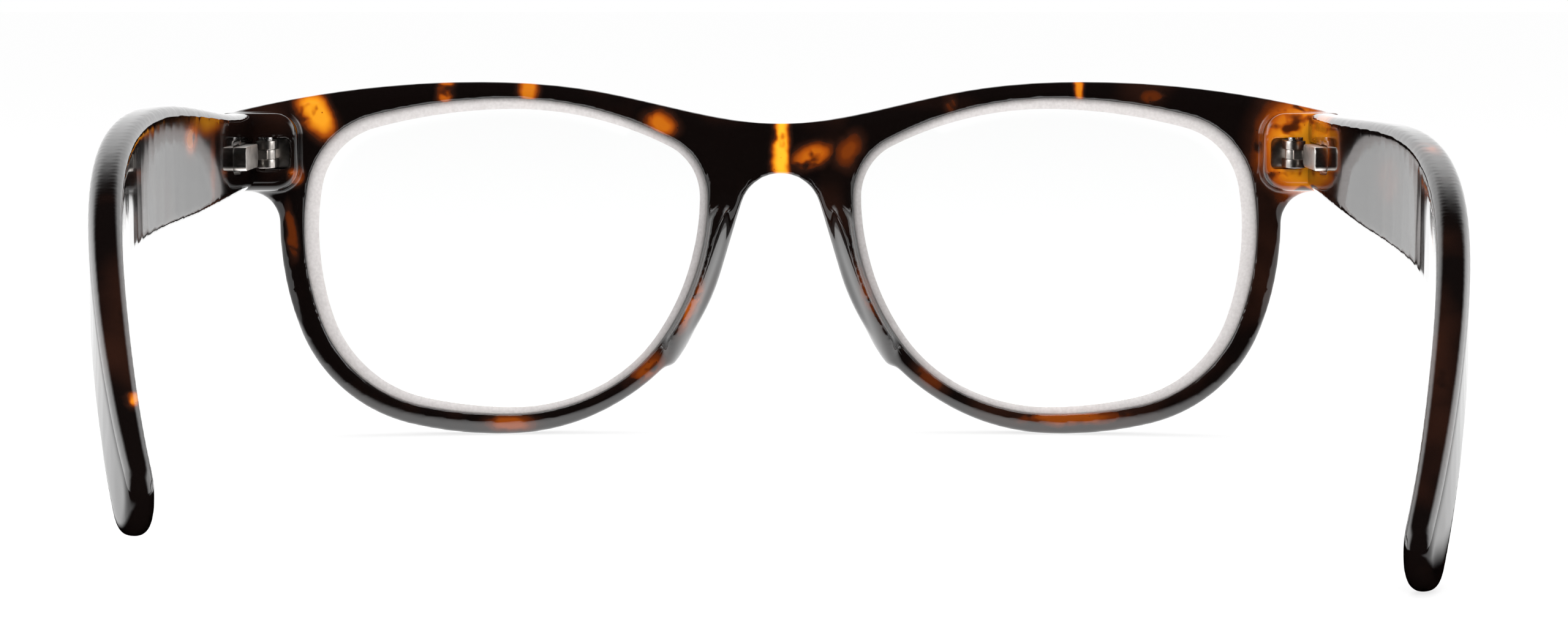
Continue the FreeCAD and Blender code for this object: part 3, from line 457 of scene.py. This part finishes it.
LEFT_TEMPLE_CHIPS = [
    ((-67.5, 15.5, 40.3), (4.0, 6.0, 2.6), 0.0, 0.68),
    ((-67.0, 28.0, 36.0), (4.0, 2.8, 6.0), 0.0, 0.46),
    ((-66.0, -31.0, 31.0), (3.5, 2.8, 4.4), 0.0, 0.62),
    ((-70.5, 34.0, 38.0), (2.2, 5.0, 3.0), 0.0, 0.62),
    ((-61.4, -60.0, 18.4), (1.5, 14.0, 0.8), 0.0, 0.78),
    ((-63.5, -47.0, 22.0), (4.5, 13.0, 12.0), 0.0, 0.27),
]
front_acetate = tortoise("front_acetate", FRONT_CHIPS)
temple_acetate = {
    "right": tortoise("right_temple_acetate", RIGHT_TEMPLE_CHIPS),
    "left": tortoise("left_temple_acetate", LEFT_TEMPLE_CHIPS),
}
print("chips placed:", len(FRONT_CHIPS) + len(RIGHT_TEMPLE_CHIPS) + len(LEFT_TEMPLE_CHIPS))

# %% [markdown]
# ## Tumbled plastic
#
# The front and the temples are milled from sheet and then tumbled for days with wooden chips and
# polish, so no edge is left sharp and the bonded nose pads melt into the rim. One way to get that
# is a bevel on every edge, but the many small faces round the hinge would fight it. We weld the
# design's shapes, rebuild their skin on a fine even grid and relax it a little, which rounds
# every edge by about the same amount, just as the tumbling does. The nose side of the rims and the
# temple tips touch skin, so they are polished longer, and we relax them further.

# %% Polished copies of the acetate pieces
def welded(name, *sources):
    """One mesh object with copies of these design nodes, their loose triangles joined."""
    shape = bmesh.new()
    for source in sources:
        shape.from_mesh(nodes[source].data)
    bmesh.ops.remove_doubles(shape, verts=shape.verts, dist=1e-6)
    mesh = bpy.data.meshes.new(name)
    shape.to_mesh(mesh)
    shape.free()
    piece = bpy.data.objects.new(name, mesh)
    scene.collection.objects.link(piece)
    return piece


def settle(piece):
    """Turn a piece's modifiers into plain mesh."""
    graph = bpy.context.evaluated_depsgraph_get()
    mesh = bpy.data.meshes.new_from_object(piece.evaluated_get(graph))
    piece.modifiers.clear()
    piece.data = mesh
    mesh.name = piece.name


def tumbled(name, grid, passes, *sources):
    """A skin rebuilt on a grid of this size in mm, relaxed by a number of passes."""
    piece = welded(name, *sources)
    skin = piece.modifiers.new("skin", "REMESH")
    skin.mode = "VOXEL"
    skin.voxel_size = grid * MM
    skin.use_smooth_shade = True
    relax = piece.modifiers.new("relax", "SMOOTH")
    relax.factor = 0.5
    relax.iterations = passes
    settle(piece)
    print(name, "has", len(piece.data.polygons), "faces")
    return piece


def soften(piece, share_of, passes):
    """Relax a piece further where share_of(place) is above 0."""
    chosen = piece.vertex_groups.new(name="soft")
    for vertex in piece.data.vertices:
        share = share_of(vertex.co)
        if share > 0.0:
            chosen.add([vertex.index], share, "REPLACE")
    relax = piece.modifiers.new("soft", "SMOOTH")
    relax.factor = 0.5
    relax.iterations = passes
    relax.vertex_group = chosen.name
    settle(piece)
    piece.vertex_groups.clear()


def fade(distance, start, run):
    """0 beyond start, 1 where the distance is a run shorter, both in mm, and even between."""
    return max(0.0, min(1.0, (start * MM - distance) / (run * MM)))


def nose_side(place):
    """1 on the rims' nasal sides, 0 a little way above and beyond them."""
    return min(fade(abs(place.x), 26.0, 6.0), fade(place.z, 33.0, 5.0))


def tip_end(place):
    """1 on the last millimetres of a temple, 0 further up."""
    return fade(place.y - TIPS_Y, 16.0, 9.0)


def finish_as(piece, materials, body, slot, *replaced):
    """Give a piece its finish and its body, and hide the design nodes that it stands for."""
    for material in materials:
        piece.data.materials.append(material)
    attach(piece, body)
    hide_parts(*replaced)


FRONT_GRID = 0.33     # mm
TEMPLE_GRID = 0.30
PASSES = 5
NOSE_PASSES = 16
TIP_PASSES = 24

front = tumbled("front_polished", FRONT_GRID, PASSES,
                "front_frame", "nose_pad_right", "nose_pad_left")
soften(front, nose_side, NOSE_PASSES)
finish_as(front, [front_acetate], "front", "front_acetate",
          "front_frame", "nose_pad_right", "nose_pad_left")
for side in SIDES:
    arm = tumbled("temple_polished_" + side, TEMPLE_GRID, PASSES, "temple_" + side)
    soften(arm, tip_end, TIP_PASSES)
    finish_as(arm, [temple_acetate[side]], "temple_" + side, "temple_acetate", "temple_" + side)

# %% [markdown]
# ## Lenses
#
# Each lens is a weak plus meniscus. Its two faces are clear and coated, so they nearly vanish,
# but its edge is ground: a V bevel sits in the rim's groove and a small safety chamfer runs round
# the back. Ground glass scatters light, and that is the milky ring inside each rim. The outline
# comes from the design's lens, and rings of points, each a fixed distance inside that outline,
# make the faces, the chamfers and the bevel.

# %% Lens outline and rings
LENS_STEPS = 240
BACK_RADIUS = 320.0 * MM
FRONT_RADIUS = 200.0 * MM
BACK_VERTEX = -0.2 * MM
FRONT_VERTEX = 2.4 * MM
BEVEL = 0.6 * MM
CHAMFER = 1.3 * MM
CHAMFER_SHIFT = 0.35       # share it gains towards the temple and loses at the foot
LIP = 0.3 * MM             # the front chamfer's width
FRONT_BEVEL = 0.55 * BEVEL     # how far the bevel reaches towards the front
RING_SHARES = (0.18, 0.36, 0.54, 0.70, 0.84, 0.94)   # rings of a face, from its centre


def hull_points(flat):
    """Corners of the convex outline of points in a plane, anticlockwise."""
    ordered = sorted(map(tuple, flat))

    def half(points):
        chain = []
        for point in points:
            while len(chain) > 1:
                a = np.subtract(chain[-1], chain[-2])
                b = np.subtract(point, chain[-1])
                if a[0] * b[1] - a[1] * b[0] > 0.0:
                    break
                chain.pop()
            chain.append(point)
        return chain[:-1]

    return np.array(half(ordered) + half(ordered[::-1]))


def even_outline(corners, count):
    """The same closed outline as count points evenly along it."""
    closed = np.vstack([corners, corners[:1]])
    along = np.concatenate([[0.0], np.cumsum(np.linalg.norm(np.diff(closed, axis=0), axis=1))])
    places = np.linspace(0.0, along[-1], count, endpoint=False)
    return np.column_stack([np.interp(places, along, closed[:, axis]) for axis in (0, 1)])


def inward(outline):
    """Unit vectors that point into an anticlockwise outline."""
    tangent = np.roll(outline, -2, axis=0) - np.roll(outline, 2, axis=0)
    normal = np.column_stack([-tangent[:, 1], tangent[:, 0]])
    return normal / np.linalg.norm(normal, axis=1)[:, None]


def lens_frame(node):
    """The lens's own frame: its middle and the turn that lays its bevel in the XZ plane."""
    points = np.array([v.co for v in nodes[node].data.vertices])
    low = points[points[:, 0].argmin()]
    high = points[points[:, 0].argmax()]
    turn = math.atan2(high[1] - low[1], high[0] - low[0])
    return Vector((low + high) / 2.0), turn, points


right_turn = lens_frame("lens_right")[1]
print("the right lens is turned by", round(math.degrees(right_turn), 2), "degrees")


# %% Build one lens
def build_lens(side):
    """A lens as rings of points round its own axis, with clear faces and a ground edge."""
    middle, turn, points = lens_frame("lens_" + side)
    place = Matrix.Translation(middle) @ Matrix.Rotation(turn, 4, "Z")
    local = (points - np.array(middle)) @ np.array(Matrix.Rotation(turn, 3, "Z"))
    ridge = even_outline(hull_points(local[:, [0, 2]]), LENS_STEPS)
    into = inward(ridge)
    centre = (ridge.min(0) + ridge.max(0)) / 2.0

    def back(ring):
        return BACK_VERTEX - ((ring - centre) ** 2).sum(1) / (2.0 * BACK_RADIUS)

    def fore(ring):
        return FRONT_VERTEX - ((ring - centre) ** 2).sum(1) / (2.0 * FRONT_RADIUS)

    edge = ridge + into * BEVEL
    to_temple = 2.0 if side == "right" else -2.0
    outward = (ridge - centre) / np.ptp(ridge, axis=0) * (to_temple, 2.0)
    gain = CHAMFER_SHIFT * (outward[:, :1] + np.minimum(outward[:, 1:], 0.0))
    inner = ridge + into * (BEVEL + CHAMFER * (1.0 + gain))
    lip = ridge + into * (BEVEL + LIP)
    # Each entry is a ring's outline, its heights, and whether the band to the next ring is ground.
    rings = [(centre + (inner - centre) * share, back, False) for share in RING_SHARES]
    rings += [(inner, back, True),
              (edge, lambda ring: np.full(len(ring), -BEVEL), True),
              (ridge, lambda ring: np.zeros(len(ring)), True),
              (edge, lambda ring: np.full(len(ring), FRONT_BEVEL), True),
              (lip, fore, False)]
    rings += [(centre + (lip - centre) * share, fore, False) for share in reversed(RING_SHARES)]

    shape = bmesh.new()
    loops = []
    for ring, height, _ in rings:
        heights = height(ring)
        loops.append([shape.verts.new((x, y, z)) for (x, z), y in zip(ring, heights)])
    flat_centre = np.array([centre])
    poles = [shape.verts.new((centre[0], back(flat_centre)[0], centre[1])),
             shape.verts.new((centre[0], fore(flat_centre)[0], centre[1]))]
    for number, (one, two) in enumerate(zip(loops, loops[1:])):
        for a in range(LENS_STEPS):
            b = (a + 1) % LENS_STEPS
            face = shape.faces.new((one[a], one[b], two[b], two[a]))
            face.material_index = 1 if rings[number][2] else 0
            face.smooth = True
    for pole, loop in ((poles[0], loops[0]), (poles[1], loops[-1])):
        for a in range(LENS_STEPS):
            shape.faces.new((pole, loop[a], loop[(a + 1) % LENS_STEPS])).smooth = True
    bmesh.ops.recalc_face_normals(shape, faces=shape.faces)
    shape.transform(place)
    mesh = bpy.data.meshes.new("lens_ground_" + side)
    shape.to_mesh(mesh)
    shape.free()
    mesh.set_sharp_from_angle(angle=math.radians(25.0))
    piece = bpy.data.objects.new(mesh.name, mesh)
    scene.collection.objects.link(piece)
    return piece


# %% Lens glass and ground edge
def lens_glass():
    """Clear coated lens: nearly no colour, with a very faint smear of handling."""
    material, tree, shader = new_material("lens_glass")
    shader.inputs["Base Color"].default_value = (0.992, 0.996, 0.994, 1.0)
    shader.inputs["Transmission Weight"].default_value = 1.0
    shader.inputs["IOR"].default_value = 1.50
    place = add(tree, "ShaderNodeTexCoord").outputs["Object"]
    smear = noise(tree, place, 40.0, 3.0)
    faint = add(tree, "ShaderNodeMapRange", {
        "From Min": 0.4, "From Max": 0.8, "To Min": 0.0, "To Max": 0.004})
    feed(tree, faint.inputs["Value"], smear.outputs["Fac"])
    feed(tree, shader.inputs["Roughness"], faint.outputs["Result"])
    return material


def ground_edge():
    """Ground lens edge: milky, finely grained."""
    material, tree, shader = new_material("lens_ground_edge")
    place = add(tree, "ShaderNodeTexCoord").outputs["Object"]
    grain = noise(tree, place, 2600.0, 2.0)
    feed(tree, shader.inputs["Base Color"], colour_ramp(tree, grain.outputs["Fac"], [
        (0.3, (0.60, 0.565, 0.555)), (0.7, (0.71, 0.675, 0.665))]))
    shader.inputs["Transmission Weight"].default_value = 0.2
    shader.inputs["Roughness"].default_value = 0.62
    shader.inputs["IOR"].default_value = 1.50
    bump = add(tree, "ShaderNodeBump", {"Strength": 0.25, "Distance": 0.01 * MM})
    feed(tree, bump.inputs["Height"], grain.outputs["Fac"])
    feed(tree, shader.inputs["Normal"], bump.outputs[0])
    return material


glass = lens_glass()
ground = ground_edge()
for side in SIDES:
    lens = build_lens(side)
    finish_as(lens, [glass, ground], "front", "lens", "lens_" + side)
    lens.visible_shadow = False
    print(lens.name, "has", len(lens.data.polygons), "faces")

# %% [markdown]
# ## Hinge metal
#
# The hinge is nickel silver: a leaf sunk in the front, a link on the pin and a round-cornered
# housing let into the temple. They are stamped and milled parts that are barrel-polished, so
# every edge carries a small round that catches the light. A bevel limited to real corners gives
# that without touching the flat faces, and a brushed, slightly warm finish does the rest.

# %% Metal finishes
STREAK_SPAN = 0.16     # how much the streaks change the roughness


def metal(name, colour, rough, streak):
    """A polished metal: fine streaks along the piece, with duller patches where it is handled."""
    material, tree, shader = new_material(name)
    shader.inputs["Metallic"].default_value = 1.0
    place = add(tree, "ShaderNodeTexCoord").outputs["Object"]
    stretch = add(tree, "ShaderNodeMapping", {"Scale": (streak, 0.12 * streak, streak)})
    feed(tree, stretch.inputs["Vector"], place)
    lines = noise(tree, stretch.outputs[0], 1.0, 3.0, 0.6)
    patch = noise(tree, place, 900.0, 2.0)
    dull = tuple(0.72 * c for c in colour)
    feed(tree, shader.inputs["Base Color"], colour_ramp(tree, patch.outputs["Fac"], [
        (0.35, dull), (0.62, colour)]))
    streaked = calculate(tree, "MULTIPLY_ADD", lines.outputs["Fac"],
                         STREAK_SPAN, rough - STREAK_SPAN / 2.0)
    feed(tree, shader.inputs["Roughness"], streaked)
    bump = add(tree, "ShaderNodeBump", {"Strength": 0.12, "Distance": 0.01 * MM})
    feed(tree, bump.inputs["Height"], lines.outputs["Fac"])
    feed(tree, shader.inputs["Normal"], bump.outputs[0])
    return material


nickel = metal("nickel_silver", (0.74, 0.695, 0.65), 0.32, 5000.0)
screw_steel = metal("screw_steel", (0.68, 0.67, 0.66), 0.24, 7000.0)
spring_steel = metal("spring_steel", (0.56, 0.555, 0.55), 0.30, 6000.0)
print("metals:", nickel.name, screw_steel.name, spring_steel.name)

# %% Barrel-polished hinge pieces
def barrelled(source, name, edge_round):
    """A copy of a design node whose real corners carry a small round, edge_round in mm."""
    piece = welded(name, source)
    shape = bmesh.new()
    shape.from_mesh(piece.data)
    bmesh.ops.dissolve_limit(shape, angle_limit=math.radians(1.0),
                             verts=shape.verts, edges=shape.edges)
    shape.to_mesh(piece.data)
    shape.free()
    bevel = piece.modifiers.new("round", "BEVEL")
    bevel.width = edge_round * MM
    bevel.segments = 3
    bevel.limit_method = "ANGLE"
    bevel.angle_limit = math.radians(40.0)
    bevel.use_clamp_overlap = True
    settle(piece)
    piece.data.shade_smooth()
    piece.data.set_sharp_from_angle(angle=math.radians(35.0))
    print(name, "has", len(piece.data.polygons), "faces")
    return piece


HINGE_PIECES = [
    # design node, piece, body, slot, metal, edge round in mm
    ("hinge_front_", "hinge_leaf_", "front", "hinge_metal", nickel, 0.10),
    ("hinge_screw_", "pin_screw_", "front", "screw_steel", screw_steel, 0.05),
    ("hinge_link_", "link_and_rod_", "link_", "hinge_metal", nickel, 0.20),
    ("spring_stop_", "stop_nut_", "link_", "spring_steel", spring_steel, 0.06),
    ("hinge_housing_", "housing_", "temple_", "hinge_metal", nickel, 0.45),
]
for side in SIDES:
    for source, name, body, slot, finish, edge_round in HINGE_PIECES:
        piece = barrelled(source + side, name + side, edge_round)
        owner = body if body == "front" else body + side
        finish_as(piece, [finish], owner, slot, source + side)

# %% [markdown]
# ## Coil springs
#
# Inside each housing a coil spring pushes on the rod's stop nut and pulls the temple shut. A coil
# is a path and a round wire, which is just what Geometry Nodes do well: a spiral curve, a circle
# swept along it and a material. Its sizes are inputs of the tree. It rides on the link.

# %% Spring tree
def spring_tree():
    """A coil along +Z from the origin: Turns, Coil radius, Length and Wire radius are inputs."""
    tree = bpy.data.node_groups.new("coil_spring", "GeometryNodeTree")
    face = tree.interface
    face.new_socket("Geometry", in_out="OUTPUT", socket_type="NodeSocketGeometry")
    for label, kind, value in (("Turns", "NodeSocketFloat", 8.0),
                               ("Coil Radius", "NodeSocketFloat", 0.75 * MM),
                               ("Length", "NodeSocketFloat", 6.0 * MM),
                               ("Wire Radius", "NodeSocketFloat", 0.14 * MM),
                               ("Steel", "NodeSocketMaterial", None)):
        socket = face.new_socket(label, in_out="INPUT", socket_type=kind)
        if value is not None:
            socket.default_value = value
    given = tree.nodes.new("NodeGroupInput")
    result = tree.nodes.new("NodeGroupOutput")
    spiral = tree.nodes.new("GeometryNodeCurveSpiral")
    spiral.inputs["Resolution"].default_value = 36
    circle = tree.nodes.new("GeometryNodeCurvePrimitiveCircle")
    circle.inputs["Resolution"].default_value = 12
    sweep = tree.nodes.new("GeometryNodeCurveToMesh")
    sweep.inputs["Fill Caps"].default_value = True
    smooth = tree.nodes.new("GeometryNodeSetShadeSmooth")
    realize = tree.nodes.new("GeometryNodeRealizeInstances")
    paint = tree.nodes.new("GeometryNodeSetMaterial")
    link = tree.links.new
    link(given.outputs["Turns"], spiral.inputs["Rotations"])
    link(given.outputs["Coil Radius"], spiral.inputs["Start Radius"])
    link(given.outputs["Coil Radius"], spiral.inputs["End Radius"])
    link(given.outputs["Length"], spiral.inputs["Height"])
    link(given.outputs["Wire Radius"], circle.inputs["Radius"])
    link(spiral.outputs["Curve"], sweep.inputs["Curve"])
    link(circle.outputs["Curve"], sweep.inputs["Profile Curve"])
    link(sweep.outputs["Mesh"], smooth.inputs["Geometry"])
    link(smooth.outputs["Geometry"], realize.inputs["Geometry"])
    link(realize.outputs["Geometry"], paint.inputs["Geometry"])
    link(given.outputs["Steel"], paint.inputs["Material"])
    link(paint.outputs["Geometry"], result.inputs["Geometry"])
    return tree


coil = spring_tree()
print("spring inputs:", [i.name for i in coil.interface.items_tree if i.in_out == "INPUT"])

# %% Wind and place the springs
WIRE_RADIUS = 0.14 * MM
SPRING_TURNS = 8.0


def wind_spring(side):
    """One spring in the place of the design's, wound along the rod."""
    low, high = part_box("hinge_spring_" + side)
    radius = (high.z - low.z) / 2.0 - WIRE_RADIUS
    length = high.y - low.y - 2.0 * WIRE_RADIUS
    piece = bpy.data.objects.new("coil_spring_" + side, bpy.data.meshes.new("coil_spring_" + side))
    scene.collection.objects.link(piece)
    maker = piece.modifiers.new("wind", "NODES")
    maker.node_group = coil
    given = {"Turns": SPRING_TURNS, "Coil Radius": radius, "Length": length,
             "Wire Radius": WIRE_RADIUS, "Steel": spring_steel}
    for item in coil.interface.items_tree:
        if item.in_out == "INPUT":
            maker[item.identifier] = given[item.name]
    settle(piece)
    axis = Vector(((low.x + high.x) / 2.0, low.y + WIRE_RADIUS, (low.z + high.z) / 2.0))
    piece.data.transform(Matrix.Translation(axis) @ Matrix.Rotation(math.radians(-90.0), 4, "X"))
    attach(piece, "link_" + side)
    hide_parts("hinge_spring_" + side)
    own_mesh(piece)


for side in SIDES:
    wind_spring(side)

# %% [markdown]
# ## Core wires
#
# A nickel wire runs down the middle of each temple so that its ear part can be bent and stays
# bent. It is shot into the hot acetate and can't be seen from outside. The design's own shape is
# right, so it stays and only gets its metal.

# %% Core wires
core_metal = metal("core_wire_metal", (0.62, 0.61, 0.60), 0.32, 4000.0)
for side in SIDES:
    wire = nodes["core_wire_" + side]
    wire.data.materials.clear()
    wire.data.materials.append(core_metal)
print("core wires finished")

# %% [markdown]
# ## Size
#
# The looks must not change the object's size, so the two boxes are written side by side.

# %% Compare sizes and finish
visual_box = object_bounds()
for name, box in (("design", design_box), ("visual", visual_box)):
    print(name, [round(c / MM, 2) for c in box[1] - box[0]], "mm")
